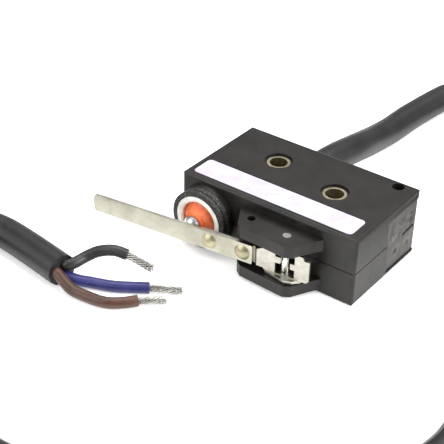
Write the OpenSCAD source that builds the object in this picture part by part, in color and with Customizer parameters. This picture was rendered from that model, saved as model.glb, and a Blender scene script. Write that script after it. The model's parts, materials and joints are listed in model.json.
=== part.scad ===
// Lever micro switch: sealed snap switch with a long hinge lever, a rubber
// booted plunger, two bushed fixing holes and a potted three-core lead.
//
// Millimetres. +Z is up from the resting face. The origin is the axis of the
// left fixing hole on that face. +X runs along the case away from the lever's
// free end, and +Y runs from the lever side to the side the lead leaves by.

/* [Case] */
// Length of the case
case_length = 48; // [47:0.5:56]
// Width from the lever face to the lead face
case_width = 28; // [27.5:0.5:34]
// Height over the two broad faces
case_height = 17.5; // [17.5:0.5:21]
// Thickness of the outer walls
wall = 1.8; // [1.4:0.1:2]
// Radius on the outer edges
edge_round = 0.8; // [0.3:0.1:1]

/* [Fixing holes] */
// Left hole from the case's left end
hole_x = 15; // [14:0.5:16]
// Left hole from the lever face
hole_y = 18; // [17.5:0.5:18.5]
// Right hole from the left one, along the case
hole_dx = 18.1; // [17:0.1:20]
// Right hole from the left one, toward the lever face
hole_dy = 3.6; // [2.5:0.1:4]
// Bore of the bushes
bush_bore_d = 4.4; // [3.2:0.1:4.6]
// Outer diameter of the bushes
bush_outer_d = 5.6; // [5.2:0.1:6]

/* [Lever] */
// Distance from the pivot pin to the lever's free end
lever_reach = 50.2; // [36:0.1:60]
// Height of the lever's strip
lever_height = 4.9; // [4:0.1:5.4]
// Thickness of the lever's strip
lever_t = 0.8; // [0.6:0.1:1]
// Angle of the lever away from the case at rest, in degrees
lever_tilt = 7.5; // [6:0.5:9]
// Diameter of the pivot pin
pin_d = 2; // [1.6:0.1:2.2]

/* [Boot and plunger] */
// Diameter of the rubber collar
boot_d = 14.8; // [13.5:0.1:15]
// Outer diameter of the clamping ring
ring_d = 12.2; // [11.6:0.1:12.6]
// Bore of the clamping ring
ring_bore = 9.3; // [8.6:0.1:9.8]
// Diameter of the plunger's stem
stem_d = 3.6; // [3:0.1:3.8]

/* [Lead] */
// Outer diameter of the lead
cable_d = 7.6; // [7:0.1:8]
// Outer diameter of each core
core_d = 2.7; // [2.3:0.1:2.7]

/* [Output] */
// Node to show

/* [Hidden] */
$fn = 48;

black = [0.10, 0.10, 0.10];
steel = [0.78, 0.78, 0.76];
brass = [0.80, 0.68, 0.38];
silver = [0.85, 0.85, 0.84];
fit = 0.04;
eps = 0.01;
joint_z = case_height / 2;
right_x = hole_x + hole_dx;
right_y = hole_y - hole_dy;

// fixing bushes are flush below and sit a little under the upper face
bush_sink = 0.5;
bush_seat_d = bush_outer_d + 1.2;
boss_r = bush_outer_d / 2 + 1.3;

// wiring chamber, open at the right end and at the lead side
floor_t = 1;
roof_t = 2.1;
roof_z = case_height - roof_t;
chamber_y = 14.3;
chamber_lean = 0.6;
chamber_x = right_x - 11.1;
potting_sink = 0.35;

// switch chamber
switch_z0 = 1.6;
switch_z1 = case_height - 1.6;
switch_y1 = 11.5;

// boot
boot_x = 7.8;
boss_out = 1.5;
collar_front = 4;
collar_seat = 2.6;
ring_back = 3.2;
ring_front = 4.1;
collar_bore = 7.6;

// lever hinge, in the lever's own tilted frame: u along it, v inward
ref_x = 26;
ref_y = -6.2;
pin_x = 32.2;
pin_y = -3.4;
pin_r = pin_d / 2;
pin_u = (pin_x - ref_x) * cos(lever_tilt) + (pin_y - ref_y) * sin(lever_tilt);
pin_v = (pin_y - ref_y) * cos(lever_tilt) - (pin_x - ref_x) * sin(lever_tilt);
lever_end_u = -1;
lever_z = 7.6;
lever_u0 = pin_u - lever_reach / cos(lever_tilt) + 0.3;
sheet_t = 0.7;
ear_lo = [1.1, 4];
ear_hi = [11.7, 14.6];
flange_gap = 0.2;
flange_lo = ear_lo[1] + flange_gap;
flange_hi = ear_hi[0] - flange_gap;
rivet_u = [(14 - ref_x) / cos(lever_tilt), (22.5 - ref_x) / cos(lever_tilt)];
rivet_r = 1.15;
rivet_head_r = 1.95;

// plunger dome, just clear of the lever's inner face
touch = 0.05;
dome_r = 2.39;
dome_y = ref_y + (lever_t + dome_r + touch - (ref_x - boot_x) * sin(lever_tilt)) / cos(lever_tilt);
head_r = 2.1;
head_front = dome_y - sqrt(pow(dome_r, 2) - pow(head_r, 2));
neck_r = 1.6;
neck_y = [head_front + 0.6, head_front + 1.4];
head_back = head_front + 1.75;
plunger_flange_y = [3, 4];
plunger_flange_r = 3.5;

// contact blade and terminals
blade_t = 0.3;
blade_y = plunger_flange_y[1] + touch;
blade_x = [10.8, 42.2];
blade_z = [6.3, 11.2];
pivot_r = 0.35;
contact_x = 25.4;
contact_r = 1.4;
button_t = 0.6;
strip_t = 0.8;
gap = 1.36;
moving_y = [blade_y - button_t, blade_y + blade_t + button_t];
closed_y = [moving_y[0] - 0.06 - 0.7, moving_y[0] - 0.06];
open_y = [moving_y[1] + gap, moving_y[1] + gap + 0.8];
tail_y = 18.6;
tail_z = [6, 12];
closed_tail_x = [24.2, 28];
closed_tail_z = [2, 2.8];
open_tail_x = [22.8, 23.6];
common_x = [42.0, 43.6];

// lead entry
entry_x = 16.3;
entry_r = 4.4;
jacket_y = 25.6;
collar_y = [25.5, case_width + 2.8];
collar_flange_y = [25.5, case_width - wall];
pocket_r = 5.5;
pocket_y0 = 22.9;
lead_r = 1.18;
lead_pitch = 2.45;
lead_run_y = 24.2;

// free lead: centre-line points, from the case outward
cable_r = cable_d / 2;
core_r = core_d / 2;
jacket_points = [
    [entry_x, jacket_y, joint_z],
    [entry_x, 31, joint_z],
    [17, 40, 8.7],
    [17.5, 50, 7.4],
    [17, 60, 5.2],
    [16.8, 70, cable_r],
    [17.2, 80, cable_r],
    [18.2, 90, cable_r],
    [19.3, 97, cable_r],
    [21.6, 102.6, cable_r],
    [25.6, 106, cable_r],
    [30.7, 107, cable_r],
    [36, 105.4, cable_r],
    [39.8, 101, cable_r],
    [41.5, 92, cable_r],
    [43.5, 80, cable_r],
    [48.5, 66, cable_r],
    [55, 51, cable_r],
    [62, 36, cable_r],
    [69, 21, cable_r],
    [76, 6, cable_r],
    [82.5, -8, cable_r],
    [86.4, -20, cable_r],
    [87.1, -31.2, cable_r],
    [83.5, -41.8, cable_r],
    [73, -50.5, cable_r],
    [61, -60, cable_r],
    [49, -69.5, cable_r],
    [37, -78, cable_r],
    [26, -83, cable_r],
    [15, -82.5, cable_r],
    [4, -76, cable_r],
    [-8, -66.5, cable_r],
    [-19, -58, cable_r],
    [-29, -51.3, cable_r],
    [-36.5, -46.3, cable_r],
    [-39.9, -41.5, cable_r],
    [-39.2, -35.5, cable_r],
    [-35.3, -31.6, cable_r],
    [-30, -30.5, cable_r],
    [-23.7, -31, cable_r],
    [-16.2, -32, cable_r],
    [-8.2, -33.2, cable_r]];
black_points = [
    [-8.05, -32.2, 5],
    [-7.3, -32, 5.05],
    [-6.4, -30.6, 5.3],
    [-5.6, -28.2, 5.8],
    [-3.8, -25.8, 6.8],
    [-0.7, -23.9, 7.4],
    [2.4, -22.9, 7]];
blue_points = [
    [-8.12, -32.65, 2.3],
    [-7.3, -32.7, 2.25],
    [-4.6, -31.6, 1.7],
    [-2.4, -30.4, 1.5],
    [3, -28, 1.4],
    [9.4, -23.6, 1.4]];
brown_points = [
    [-8.44, -34.8, 4.1],
    [-7.6, -34.95, 3.9],
    [-4.4, -35.3, 2.3],
    [-2, -35.1, 1.6],
    [4.5, -34, 1.4],
    [7.9, -31.8, 1.4],
    [10.4, -28.8, 1.4]];
black_tip = [9.1, -22, 5.6];
blue_tip = [15.9, -19.7, 1.3];
brown_tip = [15.3, -24.6, 1.3];
strand_r = 0.85;
strand_lobes = 6;

// ---- helpers ----

// moves from the case's corner to the left fixing hole
module placed() {
    translate([-hole_x, -hole_y, 0]) children();
}

// exact rectangle with round corners
module round_rect(size, r) {
    translate([r, 0]) square([size[0] - 2 * r, size[1]]);
    translate([0, r]) square([size[0], size[1] - 2 * r]);
    for (x = [r, size[0] - r], y = [r, size[1] - r]) translate([x, y]) circle(r = r);
}

// exact block with every edge rounded
module round_block(size, r) {
    intersection() {
        linear_extrude(size[2]) round_rect([size[0], size[1]], r);
        translate([0, size[1], 0]) rotate([90, 0, 0]) linear_extrude(size[1]) round_rect([size[0], size[2]], r);
        rotate([90, 0, 90]) linear_extrude(size[0]) round_rect([size[1], size[2]], r);
    }
}

// round bar along Y from y0 to y1, centred on x and z
module bar_y(r, y0, y1, x, z) {
    translate([x, y1, z]) rotate([90, 0, 0]) cylinder(r = r, h = y1 - y0);
}

// points of a fillet of radius r at corner b between a and c
function unit(v) = v / norm(v);
function fillet(a, b, c, r, n = 5) =
    let (u = unit(a - b), w = unit(c - b), half = acos(u * w) / 2, m = unit(u + w))
    let (o = b + m * r / sin(half), p = b + u * r / tan(half), q = b + w * r / tan(half))
    [for (i = [0 : n]) o + r * unit((p - o) * (n - i) + (q - o) * i)];
function rounded(pts, radii) =
    let (n = len(pts))
    [for (i = [0 : n - 1])
        each radii[i] == 0 ? [pts[i]] : fillet(pts[(i + n - 1) % n], pts[i], pts[(i + 1) % n], radii[i])];

// places children in the lever's tilted frame
module lever_frame() {
    translate([ref_x, ref_y, 0]) rotate([0, 0, lever_tilt]) children();
}

// flat outline in the lever's u and z, given thickness along v
module upright(v0, v1) {
    translate([0, v1, 0]) rotate([90, 0, 0]) linear_extrude(v1 - v0) children();
}

// exact bent rod: straight rods joined by balls
module rod_chain(pts, r) {
    for (i = [0 : len(pts) - 2]) {
        d = pts[i + 1] - pts[i];
        translate(pts[i]) rotate([0, acos(d[2] / norm(d)), atan2(d[1], d[0])]) cylinder(r = r, h = norm(d));
    }
    for (i = [1 : len(pts) - 2]) translate(pts[i]) sphere(r = r * 1.02);
}

// smooth curve through the points, with extra rings between them
function pick(p, i) = p[max(0, min(len(p) - 1, i))];
function between(a, b, c, d, t) =
    0.5 * (2 * b + (c - a) * t + (2 * a - 5 * b + 4 * c - d) * t * t + (3 * b - a - 3 * c + d) * t * t * t);
function smooth(p, n) = concat(
    [for (i = [0 : len(p) - 2], k = [0 : n - 1])
        between(pick(p, i - 1), p[i], p[i + 1], pick(p, i + 2), k / n)],
    [p[len(p) - 1]]);
function heading(p, i) = unit(pick(p, i + 1) - pick(p, i - 1));
function ring(c, t, r, n, turn = 0, lobes = 0) =
    let (s = unit(cross(t, [0, 0, 1])), w = cross(s, t))
    [for (k = [0 : n - 1])
        let (a = 360 * k / n, q = lobes > 0 ? r * (0.86 + 0.14 * cos(lobes * (a - turn))) : r)
        c + s * q * cos(a) + w * q * sin(a)];
module tube(rings, n) {
    m = len(rings);
    pts = [for (g = rings) each g];
    sides = [for (i = [0 : m - 2], k = [0 : n - 1], h = [0, 1])
        h == 0 ? [i * n + k, i * n + (k + 1) % n, (i + 1) * n + (k + 1) % n]
               : [i * n + k, (i + 1) * n + (k + 1) % n, (i + 1) * n + k]];
    caps = [[for (k = [n - 1 : -1 : 0]) k], [for (k = [0 : n - 1]) (m - 1) * n + k]];
    polyhedron(points = pts, faces = concat(sides, caps), convexity = 6);
}
module cord(p, r, n, steps) {
    c = smooth(p, steps);
    tube([for (i = [0 : len(c) - 1]) ring(c[i], heading(c, i), r, n)], n);
}

// ---- case ----

module ear_outline() {
    polygon(rounded([[17, 0.5], [17.3, 0], [20.6, -5.9], [22.2, -7], [34.4, -7.6], [35.9, -6.6],
                     [38.6, -1.5], [39.6, 0], [39.8, 0.5]],
                    [0, 0, 0.8, 1.2, 1.2, 1, 1, 0, 0]));
}

module ear(z) {
    difference() {
        translate([0, 0, z[0]]) linear_extrude(z[1] - z[0]) ear_outline();
        translate([pin_x, pin_y, z[0] - eps]) cylinder(r = pin_r, h = z[1] - z[0] + 2 * eps);
        translate([22.1, -2.8, z[0] - eps]) cylinder(r = pin_r, h = z[1] - z[0] + 2 * eps);
    }
}

// space of the wiring chamber, its channel and the lead's pocket
module chamber_space(sink) {
    difference() {
        translate([chamber_x, 0, 0]) rotate([90, 0, 90]) linear_extrude(case_length - chamber_x - sink)
            polygon([[chamber_y + chamber_lean, floor_t], [case_width - sink, floor_t],
                     [case_width - sink, roof_z], [chamber_y - chamber_lean, roof_z]]);
        translate([right_x, right_y, 0]) cylinder(r = boss_r, h = case_height);
    }
    translate([entry_x, pocket_y0, 3.8])
        cube([chamber_x - entry_x + 1, case_width - wall - pocket_y0, 9.8]);
    bar_y(pocket_r, pocket_y0, case_width - wall, entry_x, joint_z);
}

module switch_space() {
    difference() {
        translate([wall, wall, switch_z0])
            cube([case_length - 2 * wall, switch_y1 - wall, switch_z1 - switch_z0]);
        translate([right_x, right_y, 0]) cylinder(r = boss_r, h = case_height);
    }
}

module tail_slots() {
    translate([open_tail_x[0] - fit, switch_y1 - 1, tail_z[0] - fit])
        cube([strip_t + 2 * fit, 5, tail_z[1] - tail_z[0] + 2 * fit]);
    translate([common_x[1] - strip_t - fit, switch_y1 - 1, tail_z[0] - fit])
        cube([strip_t + 2 * fit, 5, tail_z[1] - tail_z[0] + 2 * fit]);
    translate([closed_tail_x[0] - fit, switch_y1 - 1, closed_tail_z[0] - fit])
        cube([closed_tail_x[1] - closed_tail_x[0] + 2 * fit, 5, strip_t + 2 * fit]);
}

label_x = [1.6, 45.4];
label_y = [1.6, 8.6];
label_depth = 0.35;
label_t = 0.25;

module case_whole() {
    difference() {
        union() {
            round_block([case_length, case_width, case_height], edge_round);
            bar_y(boot_d / 2 + 0.1, -boss_out, 0.9, boot_x, joint_z);
            ear(ear_lo);
            ear(ear_hi);
        }
        switch_space();
        chamber_space(-1);
        tail_slots();
        // plunger guide
        bar_y(stem_d / 2 + fit, -boss_out - 1, wall + 1, boot_x, joint_z);
        // hole the grommet sits in
        bar_y(entry_r, case_width - wall - 1, case_width + 1, entry_x, joint_z);
        for (p = [[hole_x, hole_y], [right_x, right_y]]) {
            translate([p[0], p[1], -1]) cylinder(d = bush_outer_d, h = case_height + 2);
            translate([p[0], p[1], case_height - bush_sink]) cylinder(d = bush_seat_d, h = 1);
        }
        // resin filling hole
        translate([case_length - 4.6, case_width - 2.5, roof_z - 1]) cylinder(d = 3, h = roof_t + 2);
        // label recess
        translate([label_x[0], label_y[0], case_height - label_depth]) linear_extrude(1)
            round_rect([label_x[1] - label_x[0], label_y[1] - label_y[0]], 1.2);
        // fine groove along the joint of the halves
        difference() {
            translate([-1, -1, joint_z - 0.12]) cube([case_length + 2, case_width + 2, 0.24]);
            translate([0.15, 0.15, joint_z - 1]) cube([case_length - 0.3, case_width - 0.3, 2]);
            bar_y(boot_d / 2 - 0.1, -boss_out - 1, 1, boot_x, joint_z);
        }
    }
}

module case_lower() {
    color(black) placed() intersection() {
        case_whole();
        translate([-5, -15, -1]) cube([case_length + 10, case_width + 20, joint_z + 1]);
    }
}

module case_upper() {
    color(black) placed() intersection() {
        case_whole();
        translate([-5, -15, joint_z]) cube([case_length + 10, case_width + 20, joint_z + 1]);
    }
}

module bush(p) {
    color(silver) placed() translate([p[0], p[1], 0]) difference() {
        cylinder(d = bush_outer_d, h = case_height - bush_sink);
        translate([0, 0, -1]) cylinder(d = bush_bore_d, h = case_height + 2);
    }
}

module bush_left() {
    bush([hole_x, hole_y]);
}

module bush_right() {
    bush([right_x, right_y]);
}

module label() {
    color([0.86, 0.84, 0.9]) placed()
        translate([label_x[0] + 0.15, label_y[0] + 0.15, case_height - label_depth]) linear_extrude(label_t)
            round_rect([label_x[1] - label_x[0] - 0.3, label_y[1] - label_y[0] - 0.3], 1.05);
}

// cured resin that fills the wiring chamber round the tails and cores
module potting() {
    color([0.16, 0.15, 0.14]) placed() difference() {
        chamber_space(potting_sink);
        terminal_closed_body();
        terminal_open_body();
        terminal_common_body();
        rod_chain(lead_common_points, lead_r);
        rod_chain(lead_open_points, lead_r);
        rod_chain(lead_closed_points, lead_r);
        bar_y(cable_r, jacket_y, case_width + 1, entry_x, joint_z);
        bar_y(pocket_r, collar_flange_y[0], case_width + 1, entry_x, joint_z);
        bar_y(entry_r, collar_y[0], case_width + 1, entry_x, joint_z);
        // shrinkage crack and dimples in the open face
        translate([case_length - 1.4, case_width - 6.2, 7.4]) rotate([6, 0, 0]) cube([2, 5, 0.7]);
        for (d = [[19, 5, 1.1], [22, 11.6, 0.9], [17.6, 10.2, 0.7], [24.6, 4.2, 0.8], [25.2, 12.2, 0.7]])
            translate([case_length - potting_sink + d[2] * 0.7, d[0], d[1]]) sphere(r = d[2]);
    }
}

// ---- boot and plunger ----

module boot_collar() {
    color([0.13, 0.13, 0.12]) placed() difference() {
        bar_y(boot_d / 2, -collar_front, -boss_out, boot_x, joint_z);
        bar_y(collar_bore / 2, -collar_front - 1, 0, boot_x, joint_z);
        bar_y(ring_d / 2, -collar_front - 1, -collar_seat, boot_x, joint_z);
        // shoulder groove round the rim
        difference() {
            bar_y(boot_d / 2 + 1, -collar_front + 0.9, -collar_front + 1.2, boot_x, joint_z);
            bar_y(boot_d / 2 - 0.3, -collar_front, 0, boot_x, joint_z);
        }
    }
}

module boot_ring() {
    color([0.86, 0.85, 0.82]) placed() difference() {
        bar_y(ring_d / 2, -ring_front, -ring_back, boot_x, joint_z);
        bar_y(ring_bore / 2, -ring_front - 1, 0, boot_x, joint_z);
        // bevelled mouth
        translate([boot_x, -ring_front, joint_z]) rotate([90, 0, 0]) translate([0, 0, -0.35])
            cylinder(r1 = ring_bore / 2, r2 = ring_bore / 2 + 0.4, h = 0.4);
    }
}

// rubber diaphragm: clamped rim, rising cone and a lip round the plunger's neck
module boot_diaphragm() {
    color([0.85, 0.27, 0.12]) placed() translate([boot_x, 0, joint_z]) rotate([90, 0, 0])
        rotate_extrude() polygon([[collar_bore / 2 - 0.6, collar_seat], [ring_d / 2, collar_seat],
            [ring_d / 2, ring_back], [ring_bore / 2 - 0.3, ring_back], [3.5, 4.0], [2.9, 4.9], [2.5, 5.2],
            [2.5, -neck_y[0]], [neck_r, -neck_y[0]], [neck_r, -neck_y[1]], [2.1, -neck_y[1]], [2.1, 4.7],
            [2.5, 4.4], [3.1, 3.5], [3.5, 3.0]]);
}

module plunger() {
    color([0.62, 0.62, 0.64]) placed() {
        intersection() {
            translate([boot_x, dome_y, joint_z]) sphere(r = dome_r);
            bar_y(head_r, dome_y - dome_r - 1, head_front + eps, boot_x, joint_z);
        }
        bar_y(head_r, head_front, neck_y[0], boot_x, joint_z);
        bar_y(neck_r, neck_y[0] - eps, neck_y[1] + eps, boot_x, joint_z);
        bar_y(stem_d / 2, neck_y[1], plunger_flange_y[0] + eps, boot_x, joint_z);
        bar_y(plunger_flange_r, plunger_flange_y[0], plunger_flange_y[1], boot_x, joint_z);
        bar_y(1.2, plunger_flange_y[1] - eps, plunger_flange_y[1] + 3.6, boot_x, joint_z);
    }
}

spring_r = 1.75;
spring_wire = 0.2;
spring_turns = 6;
spring_steps = 14;
module return_spring() {
    y0 = plunger_flange_y[1] + spring_wire + 0.02;
    y1 = switch_y1 - spring_wire - 0.02;
    n = spring_turns * spring_steps;
    c = [for (i = [0 : n])
        [boot_x + spring_r * cos(360 * i / spring_steps), y0 + (y1 - y0) * i / n,
         joint_z + spring_r * sin(360 * i / spring_steps)]];
    color(steel) placed()
        tube([for (i = [0 : n])
            let (a = 360 * i / spring_steps, o = [cos(a), 0, sin(a)])
            [for (k = [0 : 5]) c[i] + spring_wire * (o * cos(60 * k) + [0, 1, 0] * sin(60 * k))]], 6);
}

// ---- lever and hinge ----

// lever strip, gently curved at its free end
module lever() {
    color(steel) placed() lever_frame() difference() {
        upright(0, lever_t) polygon(rounded(
            [[lever_u0, lever_z - lever_height / 2 + 0.2], [lever_end_u, lever_z - lever_height / 2],
             [lever_end_u, lever_z + lever_height / 2], [lever_u0, lever_z + lever_height / 2 - 0.2],
             [lever_u0 - 0.35, lever_z]], [0.5, 0.25, 0.25, 0.5, 4]));
        for (u = rivet_u) translate([u, lever_t + 1, lever_z]) rotate([90, 0, 0])
            cylinder(r = rivet_r, h = lever_t + 2);
    }
}

// stamped stirrup: arm behind the lever, joggle, windowed web and two flanges on the pin
module hinge_bracket() {
    arm_z = [lever_z - 2.2, lever_z + 2.2];
    arm_u = -14.6;
    web_u = [0.2, 13.3];
    win_u = [4.84, 9.7];
    color(steel) placed() lever_frame() difference() {
        union() {
            // arm
            translate([arm_u, lever_t, arm_z[0]])
                cube([-0.8 - arm_u, sheet_t, arm_z[1] - arm_z[0]]);
            // joggle
            translate([0, 0, arm_z[0]]) linear_extrude(arm_z[1] - arm_z[0])
                polygon([[-0.9, lever_t], [-0.6, lever_t], [web_u[0], 0], [web_u[0] + 0.4, 0],
                         [web_u[0] + 0.4, sheet_t], [-0.3, lever_t + sheet_t], [-0.9, lever_t + sheet_t]]);
            // web
            upright(0, sheet_t) difference() {
                polygon([[web_u[0], arm_z[0]], [1.8, arm_z[0]], [2.9, flange_lo], [11, flange_lo],
                         [11.6, 4.9], [12.6, 4.9], [13.3, 5.6], [13.3, 10.6], [12, 10.6],
                         [11.6, flange_hi], [2.2, flange_hi], [1.6, 10.6], [web_u[0], arm_z[1]]]);
                difference() {
                    translate([win_u[0], flange_lo + 0.9])
                        square([win_u[1] - win_u[0], flange_hi - flange_lo - 1.7]);
                    translate([win_u[0] - eps, 7.9]) square([1.3, 1.6]);
                    translate([win_u[1] - 1.1, 7.3]) square([1.1 + eps, 1.5]);
                }
            }
            // flanges on the pin
            translate([0, 0, flange_hi - sheet_t]) linear_extrude(sheet_t) flange_outline(0);
            translate([0, 0, flange_lo]) linear_extrude(sheet_t) flange_outline(-1.6);
        }
        translate([pin_u, pin_v, 0]) cylinder(r = pin_r + fit, h = case_height);
        for (u = rivet_u) translate([u, lever_t + 2, lever_z]) rotate([90, 0, 0])
            cylinder(r = rivet_r, h = lever_t + 3);
    }
}

module flange_outline(out) {
    polygon(rounded([[2.4, 0], [pin_u + 1.4, out], [pin_u + 3.2, out * 0.6], [pin_u + 4.2, 0],
                     [pin_u + 2.1, pin_v + 2.1], [pin_u - 2.1, pin_v + 2.1]],
                    [0, out == 0 ? 0 : 0.8, 0, 0, 1.2, 1.2]));
}

module pivot_pin() {
    color(silver) placed() translate([pin_x, pin_y, ear_lo[0]]) cylinder(r = pin_r, h = ear_hi[1] - ear_lo[0]);
}

module rivet(u) {
    head = 0.85;
    ball = (pow(rivet_head_r, 2) + pow(head, 2)) / (2 * head);
    color(brass) placed() lever_frame() translate([u, 0, lever_z]) {
        intersection() {
            translate([0, ball - head, 0]) sphere(r = ball);
            rotate([90, 0, 0]) cylinder(r = rivet_head_r + 1, h = 2);
        }
        translate([0, lever_t + sheet_t, 0]) rotate([90, 0, 0]) cylinder(r = rivet_r, h = lever_t + sheet_t + eps);
        translate([0, lever_t + sheet_t + 0.35, 0]) rotate([90, 0, 0]) cylinder(r = 1.6, h = 0.35);
    }
}

module rivet_outer() {
    rivet(rivet_u[0]);
}

module rivet_inner() {
    rivet(rivet_u[1]);
}

// ---- contacts and terminals ----

module contact_blade() {
    color(brass) placed() difference() {
        translate([blade_x[0], blade_y, blade_z[0]])
            cube([blade_x[1] - blade_x[0], blade_t, blade_z[1] - blade_z[0]]);
        translate([14, blade_y - 1, joint_z - 1.1]) cube([7, 3, 2.2]);
        bar_y(0.6, blade_y - 1, blade_y + 2, contact_x, joint_z);
    }
    // rolled end it pivots on
    color(brass) placed() translate([blade_x[1], blade_y + blade_t / 2, blade_z[0]])
        cylinder(r = pivot_r, h = blade_z[1] - blade_z[0]);
}

module contact_moving() {
    color(silver) placed() {
        bar_y(contact_r, moving_y[0], blade_y, contact_x, joint_z);
        bar_y(0.6, blade_y - eps, blade_y + blade_t + eps, contact_x, joint_z);
        bar_y(contact_r, blade_y + blade_t, moving_y[1], contact_x, joint_z);
    }
}

module contact_closed() {
    color(silver) placed() bar_y(contact_r, closed_y[0], closed_y[1], contact_x, joint_z);
}

module contact_open() {
    color(silver) placed() bar_y(contact_r, open_y[0], open_y[1], contact_x, joint_z);
}

module terminal_closed_body() {
    // plate on the front wall, foot, and a flat tail under the blade
    translate([closed_tail_x[0] - 1, closed_y[0] - strip_t, closed_tail_z[0]])
        cube([closed_tail_x[1] - closed_tail_x[0] + 1, strip_t, tail_z[1] - closed_tail_z[0]]);
    translate([closed_tail_x[0], closed_y[0] - strip_t, closed_tail_z[0]])
        cube([closed_tail_x[1] - closed_tail_x[0], tail_y - closed_y[0] + strip_t, strip_t]);
    // lug its core is soldered to
    translate([closed_tail_x[0], tail_y - strip_t, closed_tail_z[0]])
        cube([closed_tail_x[1] - closed_tail_x[0], strip_t, 5.3]);
}

module terminal_open_body() {
    translate([open_tail_x[0], open_y[1], tail_z[0]]) cube([5, strip_t, tail_z[1] - tail_z[0]]);
    translate([open_tail_x[0], open_y[1], tail_z[0]]) cube([strip_t, tail_y - open_y[1], tail_z[1] - tail_z[0]]);
}

// post with the notch that the blade's end pivots in, and its tail
module terminal_common_body() {
    difference() {
        union() {
            translate([common_x[0], blade_y - 1.6, tail_z[0] - 0.6])
                cube([common_x[1] - common_x[0], 3.4, tail_z[1] - tail_z[0] + 1.2]);
            translate([common_x[1] - strip_t, blade_y, tail_z[0]])
                cube([strip_t, tail_y - blade_y, tail_z[1] - tail_z[0]]);
        }
        translate([blade_x[1], blade_y + blade_t / 2, 0]) cylinder(r = pivot_r + fit, h = case_height);
        translate([common_x[0] - 1, blade_y + blade_t / 2 - pivot_r - fit, 0])
            cube([blade_x[1] - common_x[0] + 1, 2 * (pivot_r + fit), case_height]);
    }
}

module terminal_closed() {
    color(brass) placed() terminal_closed_body();
}

module terminal_open() {
    color(brass) placed() terminal_open_body();
}

module terminal_common() {
    color(brass) placed() terminal_common_body();
}

// cores soldered to the tails inside the resin
function lead_path(z, x, y) = [[entry_x, jacket_y, z], [entry_x, lead_run_y, z], [x, lead_run_y, z], [x, y, z]];
lead_common_points = lead_path(joint_z + lead_pitch, common_x[1] - strip_t - lead_r, 16.6);
lead_open_points = lead_path(joint_z, open_tail_x[1] + lead_r, 15.9);
lead_closed_points = lead_path(joint_z - lead_pitch, 26.4, tail_y);

// core with mitred bends, on a level path
module mitred_core(p) {
    last = len(p) - 1;
    tube([for (i = [0 : last])
        let (a = unit(p[max(i, 1)] - p[max(i, 1) - 1]), b = unit(p[min(i + 1, last)] - p[min(i, last - 1)]))
        let (m = unit(a + b), s = cross(m, [0, 0, 1]) / (m * a))
        [for (k = [0 : 11]) p[i] + lead_r * (s * cos(30 * k) + [0, 0, 1] * sin(30 * k))]], 12);
}

module lead_common() {
    color([0.2, 0.2, 0.2]) placed() mitred_core(lead_common_points);
}

module lead_open() {
    color([0.25, 0.25, 0.6]) placed() mitred_core(lead_open_points);
}

module lead_closed() {
    color([0.42, 0.26, 0.16]) placed() mitred_core(lead_closed_points);
}

// ---- lead ----

module cable_collar() {
    color([0.12, 0.12, 0.12]) placed() difference() {
        union() {
            bar_y(entry_r, collar_y[0], collar_y[1] - 0.3, entry_x, joint_z);
            bar_y(entry_r - 0.3, collar_y[0], collar_y[1], entry_x, joint_z);
            bar_y(pocket_r, collar_flange_y[0], collar_flange_y[1], entry_x, joint_z);
        }
        bar_y(cable_r, collar_flange_y[0] - 1, collar_y[1] + 1, entry_x, joint_z);
    }
}

module cable_jacket() {
    color([0.11, 0.11, 0.11]) placed() cord(jacket_points, cable_r, 12, 2);
}

module core_black() {
    color([0.08, 0.08, 0.08]) placed() cord(black_points, core_r, 8, 3);
}

module core_blue() {
    color([0.35, 0.34, 0.62]) placed() cord(blue_points, core_r, 8, 3);
}

module core_brown() {
    color([0.45, 0.30, 0.20]) placed() cord(brown_points, core_r, 8, 3);
}

// bare twisted wire ends, slightly splayed
module strands(from, to) {
    rings = 12;
    n = 18;
    t = unit(to - from);
    color(silver) placed() tube([for (i = [0 : rings])
        ring(from + (to - from) * i / rings, t, strand_r * (1 + 0.12 * i / rings), n, 14 * i, strand_lobes)], n);
}

module strands_black() {
    strands(black_points[len(black_points) - 1], black_tip);
}

module strands_blue() {
    strands(blue_points[len(blue_points) - 1], blue_tip);
}

module strands_brown() {
    strands(brown_points[len(brown_points) - 1], brown_tip);
}

case_lower();
case_upper();
potting();
bush_left();
bush_right();
label();
boot_collar();
boot_ring();
boot_diaphragm();
plunger();
return_spring();
hinge_bracket();
pivot_pin();
lever();
rivet_outer();
rivet_inner();
contact_blade();
contact_moving();
contact_closed();
contact_open();
terminal_common();
terminal_closed();
terminal_open();
lead_common();
lead_closed();
lead_open();
cable_collar();
cable_jacket();
core_black();
core_blue();
core_brown();
strands_black();
strands_blue();
strands_brown();
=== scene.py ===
import bpy, bmesh, json, math
from mathutils import Matrix, Vector


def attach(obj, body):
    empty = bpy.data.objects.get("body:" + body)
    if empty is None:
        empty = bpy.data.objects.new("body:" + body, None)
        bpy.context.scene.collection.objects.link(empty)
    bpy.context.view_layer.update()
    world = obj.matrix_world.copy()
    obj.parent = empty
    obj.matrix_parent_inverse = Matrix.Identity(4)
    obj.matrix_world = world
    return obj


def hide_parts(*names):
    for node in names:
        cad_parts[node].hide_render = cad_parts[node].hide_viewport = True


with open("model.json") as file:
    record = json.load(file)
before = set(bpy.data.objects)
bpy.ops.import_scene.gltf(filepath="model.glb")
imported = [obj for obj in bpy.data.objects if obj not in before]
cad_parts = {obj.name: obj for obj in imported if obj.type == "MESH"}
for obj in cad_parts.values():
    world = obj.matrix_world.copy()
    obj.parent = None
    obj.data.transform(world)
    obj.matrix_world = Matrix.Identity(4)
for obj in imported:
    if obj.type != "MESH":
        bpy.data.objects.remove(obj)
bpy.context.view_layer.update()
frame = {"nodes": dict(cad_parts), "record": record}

mm = 0.001
home = Vector((15, 18, 0))  # case corner to the left fixing hole, mm


def place(p):
    return (Vector(p) - home) * mm


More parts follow.
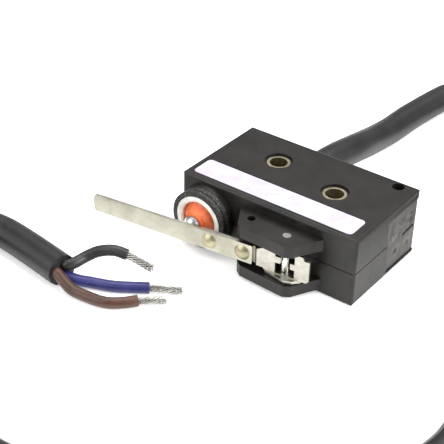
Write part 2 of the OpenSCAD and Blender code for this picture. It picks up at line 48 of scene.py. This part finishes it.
shot = {"azimuth": 36.4, "elevation": 33.6, "roll": 1.22, "distance": 267.7, "target": (12.6, -1.04, 8.75),
        "lens": 93.24, "sensor": 36, "near": 0.01, "far": 20}


def makeCamera(s):
    a, e, k = (math.radians(s[n]) for n in ("azimuth", "elevation", "roll"))
    back = Vector((math.sin(a) * math.cos(e), -math.cos(a) * math.cos(e), math.sin(e)))
    right = Vector((math.cos(a), math.sin(a), 0))
    up = back.cross(right)
    x = right * math.cos(k) + up * math.sin(k)
    y = up * math.cos(k) - right * math.sin(k)
    spot = place(s["target"]) + back * s["distance"] * mm
    data = bpy.data.cameras.new("camera")
    data.lens, data.sensor_width = s["lens"], s["sensor"]
    data.clip_start, data.clip_end = s["near"], s["far"]
    cam = bpy.data.objects.new("camera", data)
    turn = Matrix((x, y, back)).transposed()
    cam.matrix_world = Matrix.Translation(spot) @ turn.to_4x4()
    bpy.context.collection.objects.link(cam)
    bpy.context.scene.camera = cam


makeCamera(shot)
print("camera done")


class Val:
    def __init__(self, kit, socket):
        self.kit, self.socket = kit, socket

    def calc(self, op, other):
        return self.kit.node("ShaderNodeMath", {"operation": op}, self, other)

    def __add__(self, other):
        return self.calc("ADD", other)

    def __mul__(self, other):
        return self.calc("MULTIPLY", other)

    def __gt__(self, other):
        return self.calc("GREATER_THAN", other)


class Kit:
    def __init__(self, name):
        self.mat = bpy.data.materials.new(name)
        self.mat.use_nodes = True
        self.tree = self.mat.node_tree
        self.shader = next(n for n in self.tree.nodes if n.type == "BSDF_PRINCIPLED")
        coord = self.tree.nodes.new("ShaderNodeTexCoord")
        self.where = Val(self, coord.outputs["Object"])

    def put(self, socket, value):
        if isinstance(value, Val):
            self.tree.links.new(value.socket, socket)
        else:
            socket.default_value = value

    def node(self, kind, settings, *values, out=0, **named):
        n = self.tree.nodes.new(kind)
        for k, v in settings.items():
            setattr(n, k, v)
        for i, v in enumerate(values):
            self.put(n.inputs[i], v)
        for k, v in named.items():
            self.put(n.inputs[k.replace("_", " ")], v)
        return Val(self, n.outputs[out])

    def noise(self, scale, detail, rough, stretch=(1, 1, 1), turn=0.0):
        at = self.node("ShaderNodeMapping", {}, Vector=self.where, Scale=stretch, Rotation=(0, 0, turn))
        return self.node("ShaderNodeTexNoise", {}, Vector=at, Scale=scale, Detail=detail, Roughness=rough)

    def cells(self, scale):
        return self.node("ShaderNodeTexVoronoi", {}, Vector=self.where, Scale=scale)

    def scaled(self, value, low, high, a=0.0, b=1.0):
        return self.node("ShaderNodeMapRange", {}, Value=value, From_Min=low, From_Max=high, To_Min=a, To_Max=b)

    def mix(self, part, a, b):
        factor, first, second = 0, 6, 7  # sockets of the colour mix
        n = self.tree.nodes.new("ShaderNodeMix")
        n.data_type = "RGBA"
        self.put(n.inputs[factor], part)
        self.put(n.inputs[first], (*a, 1))
        self.put(n.inputs[second], (*b, 1))
        return Val(self, n.outputs[2])

    def ramp(self, value, low, high, a, b):
        return self.mix(self.scaled(value, low, high), a, b)

    def bump(self, height, strength, depth):
        return self.node("ShaderNodeBump", {}, Strength=strength, Distance=depth, Height=height)

    def surface(self, **named):
        for k, v in named.items():
            self.put(self.shader.inputs[k.replace("_", " ")], v)
        return self.mat


def plastic(name, dark, light, rough, grain, depth, shine=0.4):
    k = Kit(name)
    wide = k.noise(scale=180, detail=4, rough=0.55)
    fine = k.noise(scale=grain, detail=2, rough=0.6)
    scuff = k.noise(scale=900, detail=5, rough=0.7, stretch=(1, 5, 1), turn=0.4)
    tone = k.ramp(wide + scuff * 0.25, 0.45, 0.8, dark, light)
    worn = k.scaled(fine + scuff * 0.3, 0.3, 0.9, rough - 0.06, rough + 0.08)
    return k.surface(Base_Color=tone, Roughness=worn, Specular_IOR_Level=shine,
                     Normal=k.bump(fine, strength=0.35, depth=depth))


def metal(name, dark, light, rough, stretch=(1, 1, 1), turn=0, depth=0.00002, blotch=0.0):
    k = Kit(name)
    grain = k.noise(scale=2600, detail=3, rough=0.6, stretch=stretch, turn=turn)
    wide = k.noise(scale=260, detail=4, rough=0.6)
    tone = k.ramp(wide + grain * 0.35, 0.4, 0.85, dark, light)
    worn = k.scaled(grain + wide * blotch, 0.3, 0.8, rough - 0.07, rough + 0.1)
    return k.surface(Base_Color=tone, Metallic=1.0, Roughness=worn,
                     Normal=k.bump(grain, strength=0.25, depth=depth))


def speckled(name, dark, light):
    k = Kit(name)
    spots = k.cells(scale=2300)
    fine = k.noise(scale=1500, detail=4, rough=0.7)
    dust = (fine > 0.58) * 0.7
    return k.surface(Base_Color=k.mix(dust, dark, light), Roughness=k.scaled(fine, 0.3, 0.7, 0.45, 0.75),
                     Normal=k.bump(spots + fine, strength=0.5, depth=0.00012))


def resin(name, dark, light):
    k = Kit(name)
    wide = k.noise(scale=240, detail=5, rough=0.65)
    lump = k.cells(scale=330)
    fine = k.noise(scale=1600, detail=3, rough=0.6)
    tone = k.ramp(wide + lump * 0.3, 0.4, 0.9, dark, light)
    return k.surface(Base_Color=tone, Roughness=k.scaled(wide, 0.3, 0.7, 0.35, 0.65),
                     Normal=k.bump(wide + lump * 0.6 + fine * 0.15, strength=0.8, depth=0.0006))


def clouded(name, dark, light, rough, through):
    k = Kit(name)
    wide = k.noise(scale=420, detail=4, rough=0.6)
    return k.surface(Base_Color=k.ramp(wide, 0.35, 0.7, dark, light),
                     Roughness=k.scaled(wide, 0.3, 0.7, rough, rough + 0.15),
                     Subsurface_Weight=through, Subsurface_Scale=0.0006,
                     Normal=k.bump(wide, strength=0.3, depth=0.00006))


drawn = {"stretch": (0.04, 1, 1), "turn": -0.13}  # grain along the lever
rolled = {"stretch": (0.04, 1, 1)}  # grain along the case
turned = {"stretch": (1, 1, 0.05)}  # grain round an upright axis

looks = {
    "case_plastic": (plastic, {"dark": (0.003, 0.0025, 0.002), "light": (0.011, 0.009, 0.0078),
                               "rough": 0.4, "grain": 2200, "depth": 0.00003, "shine": 0.32}),
    "resin": (resin, {"dark": (0.012, 0.010, 0.009), "light": (0.055, 0.048, 0.042)}),
    "nickel": (metal, {"dark": (0.25, 0.21, 0.11), "light": (0.62, 0.57, 0.42),
                       "rough": 0.24, "blotch": 0.6, **turned}),
    "label_film": (clouded, {"dark": (0.4, 0.37, 0.45), "light": (0.49, 0.46, 0.54),
                             "rough": 0.35, "through": 0.0}),
    "boot_rubber": (speckled, {"dark": (0.008, 0.008, 0.007), "light": (0.12, 0.12, 0.1)}),
    "ring_plastic": (clouded, {"dark": (0.62, 0.6, 0.55), "light": (0.85, 0.84, 0.8),
                               "rough": 0.3, "through": 0.35}),
    "diaphragm_rubber": (clouded, {"dark": (0.5, 0.09, 0.02), "light": (0.72, 0.17, 0.05),
                                   "rough": 0.4, "through": 0.2}),
    "plunger_steel": (metal, {"dark": (0.34, 0.34, 0.36), "light": (0.66, 0.66, 0.68),
                              "rough": 0.28, "stretch": (1, 0.05, 1)}),
    "spring_wire": (metal, {"dark": (0.5, 0.5, 0.5), "light": (0.75, 0.75, 0.75), "rough": 0.25}),
    "bracket_steel": (metal, {"dark": (0.24, 0.23, 0.19), "light": (0.46, 0.45, 0.4),
                              "rough": 0.27, "blotch": 0.4, **drawn}),
    "pin_steel": (metal, {"dark": (0.6, 0.6, 0.58), "light": (0.85, 0.85, 0.83), "rough": 0.2, **turned}),
    "lever_steel": (metal, {"dark": (0.29, 0.28, 0.22), "light": (0.45, 0.44, 0.37),
                            "rough": 0.3, "blotch": 0.3, **drawn}),
    "rivet_metal": (metal, {"dark": (0.2, 0.18, 0.1), "light": (0.46, 0.42, 0.29), "rough": 0.34,
                            "depth": 0.00012, "blotch": 0.5}),
    "spring_bronze": (metal, {"dark": (0.5, 0.3, 0.14), "light": (0.8, 0.55, 0.3), "rough": 0.3, **rolled}),
    "contact_silver": (metal, {"dark": (0.7, 0.7, 0.7), "light": (0.92, 0.92, 0.9), "rough": 0.3}),
    "terminal_brass": (metal, {"dark": (0.6, 0.42, 0.15), "light": (0.85, 0.68, 0.34), "rough": 0.3, **rolled}),
    "grommet_rubber": (plastic, {"dark": (0.006, 0.006, 0.006), "light": (0.018, 0.018, 0.018),
                                 "rough": 0.5, "grain": 1500, "depth": 0.00004}),
    "jacket_pvc": (plastic, {"dark": (0.003, 0.003, 0.0032), "light": (0.009, 0.009, 0.0095),
                             "rough": 0.42, "grain": 1300, "depth": 0.00004}),
    "core_black": (plastic, {"dark": (0.007, 0.007, 0.007), "light": (0.02, 0.02, 0.02),
                             "rough": 0.34, "grain": 1500, "depth": 0.00002}),
    "core_blue": (plastic, {"dark": (0.016, 0.016, 0.09), "light": (0.034, 0.033, 0.15),
                            "rough": 0.34, "grain": 1500, "depth": 0.00002}),
    "core_brown": (plastic, {"dark": (0.035, 0.014, 0.008), "light": (0.075, 0.03, 0.017),
                             "rough": 0.34, "grain": 1500, "depth": 0.00002}),
    "tinned_wire": (metal, {"dark": (0.2, 0.19, 0.17), "light": (0.5, 0.49, 0.46), "rough": 0.25}),
}
mats = {name: make(name, **values) for name, (make, values) in looks.items()}
slots = {s["node"]: s["material_slot"] for s in frame["record"]["subparts"]}
for name, obj in frame["nodes"].items():
    obj.data.materials.clear()
    obj.data.materials.append(mats[slots[name]])
print("materials done")


def between(a, b, c, d, t):  # Catmull-Rom curve from b to c
    square, cube = 2 * a - 5 * b + 4 * c - d, 3 * b - a - 3 * c + d
    return 0.5 * (2 * b + (c - a) * t + square * t * t + cube * t ** 3)


def smooth(points, steps):
    p = [place(q) for q in points]
    p = [p[0]] + p + [p[-1]]
    line = [between(*p[i:i + 4], k / steps) for i in range(len(p) - 3) for k in range(steps)]
    return line + [p[-1]]


def tube(name, lines, radius, slot, fine=4):
    data = bpy.data.curves.new(name, "CURVE")
    data.dimensions = "3D"
    data.bevel_depth, data.bevel_resolution, data.use_fill_caps = radius, fine, True
    for line in lines:
        s = data.splines.new("POLY")
        s.points.add(len(line) - 1)
        for point, at in zip(s.points, line):
            point.co = (*at, 1)
    curve = bpy.data.objects.new(name + "_line", data)
    bpy.context.collection.objects.link(curve)
    mesh = bpy.data.meshes.new_from_object(curve.evaluated_get(bpy.context.evaluated_depsgraph_get()))
    bpy.data.objects.remove(curve)
    mesh.materials.clear()
    mesh.materials.append(mats[slot])
    obj = bpy.data.objects.new(name, mesh)
    bpy.context.collection.objects.link(obj)
    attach(obj, "case")
    return obj


jacket = {
    "radius": 3.8, "steps": 6,
    "line": [(16.3, 25.6, 8.75), (16.3, 31, 8.75), (17, 40, 8.7), (17.5, 50, 7.4), (17, 60, 5.2), (16.8, 70, 3.8),
             (17.2, 80, 3.8), (18.2, 90, 3.8), (19.3, 97, 3.8), (21.6, 102.6, 3.8), (25.6, 106, 3.8),
             (30.7, 107, 3.8), (36, 105.4, 3.8), (39.8, 101, 3.8), (41.5, 92, 3.8), (43.5, 80, 3.8),
             (48.5, 66, 3.8), (55, 51, 3.8), (62, 36, 3.8), (69, 21, 3.8), (76, 6, 3.8), (82.5, -8, 3.8),
             (86.4, -20, 3.8), (87.1, -31.2, 3.8), (83.5, -41.8, 3.8), (73, -50.5, 3.8), (61, -60, 3.8),
             (49, -69.5, 3.8), (37, -78, 3.8), (26, -83, 3.8), (15, -82.5, 3.8), (4, -76, 3.8), (-8, -66.5, 3.8),
             (-19, -58, 3.8), (-29, -51.3, 3.8), (-36.5, -46.3, 3.8), (-39.9, -41.5, 3.8), (-39.2, -35.5, 3.8),
             (-35.3, -31.6, 3.8), (-30, -30.5, 3.8), (-23.7, -31, 3.8), (-16.2, -32, 3.8), (-8.2, -33.2, 3.8)],
}
cores = {
    "radius": 1.35, "steps": 5,
    "black": [(-8.05, -32.2, 5), (-7.3, -32, 5.05), (-6.4, -30.6, 5.3), (-5.6, -28.2, 5.8), (-3.8, -25.8, 6.8),
              (-0.7, -23.9, 7.4), (2.4, -22.9, 7)],
    "blue": [(-8.12, -32.65, 2.3), (-7.3, -32.7, 2.25), (-4.6, -31.6, 1.7), (-2.4, -30.4, 1.5), (3, -28, 1.4),
             (9.4, -23.6, 1.4)],
    "brown": [(-8.44, -34.8, 4.1), (-7.6, -34.95, 3.9), (-4.4, -35.3, 2.3), (-2, -35.1, 1.6), (4.5, -34, 1.4),
              (7.9, -31.8, 1.4), (10.4, -28.8, 1.4)],
}
strands = {
    "tips": {"black": (9.1, -22, 5.6), "blue": (15.9, -19.7, 1.3), "brown": (15.3, -24.6, 1.3)},
    "inner": 3, "outer": 9, "innerReach": 0.3, "outerReach": 0.72, "radius": 0.16, "fine": 1,
    "turn": 250, "flare": 0.14, "stagger": 0.02, "steps": 14,
}


def strandLines(start, end, s):
    a, b = place(start), place(end)
    ahead = (b - a).normalized()
    side = ahead.cross(Vector((0, 0, 1))).normalized()
    up = side.cross(ahead)
    lines = []
    for i in range(s["inner"] + s["outer"]):
        ring = "inner" if i < s["inner"] else "outer"
        line = []
        for j in range(s["steps"] + 1):
            f = j / s["steps"]
            reach = s[ring + "Reach"] * mm * (1 + s["flare"] * f)
            turn = math.radians(360 * i / s[ring] + s["turn"] * f)
            middle = a + (b - a) * f * (1 - s["stagger"] * (i % 3))  # the ends aren't level
            line.append(middle + side * reach * math.cos(turn) + up * reach * math.sin(turn))
        lines.append(line)
    return lines


def buildLead(j, c, s):
    ends = []
    for tint, tip in s["tips"].items():
        core = tube("free_" + tint, [smooth(c[tint], c["steps"])], c["radius"] * mm, "core_" + tint)
        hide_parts("core_" + tint)
        lines = strandLines(c[tint][-1], tip, s)
        wires = tube("wires_" + tint, lines, s["radius"] * mm, "tinned_wire", s["fine"])
        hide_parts("strands_" + tint)
        ends += [core, wires]
    line = smooth(j["line"], j["steps"])
    sheath = tube("lead_jacket", [line], j["radius"] * mm, "jacket_pvc")
    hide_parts("cable_jacket")
    length = sum((q - p).length for p, q in zip(line, line[1:]))
    print("lead length", round(length, 3))


buildLead(jacket, cores, strands)
print("lead done")

studio = {
    "floor": {"half": 3, "dark": (0.93, 0.93, 0.925), "light": (0.95, 0.95, 0.945), "rough": 0.85, "glow": 0.32},
    "lamps": {"side": {"spot": (430, 40, 250), "size": 0.45, "power": 4.5},
              "top": {"spot": (-60, 160, 620), "size": 0.7, "power": 5.5},
              "front": {"spot": (-240, -420, 260), "size": 0.5, "power": 2.5}},
    "sky": 0.42,
}


def makeFloor(f):
    mesh = bpy.data.meshes.new("floor")
    bm = bmesh.new()
    bmesh.ops.create_grid(bm, x_segments=1, y_segments=1, size=f["half"])
    bm.to_mesh(mesh)
    bm.free()
    floor = bpy.data.objects.new("floor", mesh)
    bpy.context.collection.objects.link(floor)
    k = Kit("floor")
    tone = k.ramp(k.noise(scale=6, detail=2, rough=0.5), 0.3, 0.7, f["dark"], f["light"])
    k.surface(Base_Color=tone, Roughness=f["rough"], Emission_Color=(1, 1, 1, 1), Emission_Strength=f["glow"])
    mesh.materials.append(k.mat)
    return floor


def makeLamp(name, spot, size, power):
    data = bpy.data.lights.new(name, "AREA")
    data.size, data.energy = size, power
    lamp = bpy.data.objects.new(name, data)
    at = Vector(spot) * mm
    lamp.matrix_world = Matrix.Translation(at) @ at.to_track_quat("Z", "Y").to_matrix().to_4x4()
    bpy.context.collection.objects.link(lamp)
    return lamp


def makeStudio(s):
    floor = makeFloor(s["floor"])
    lamps = [makeLamp(name, **values) for name, values in s["lamps"].items()]
    world = bpy.data.worlds.new("studio")
    world.use_nodes = True
    back = world.node_tree.nodes["Background"]
    back.inputs["Color"].default_value = (1, 1, 1, 1)
    back.inputs["Strength"].default_value = s["sky"]
    bpy.context.scene.world = world
    bpy.context.scene.view_settings.view_transform = "Standard"


makeStudio(studio)
print("studio done")
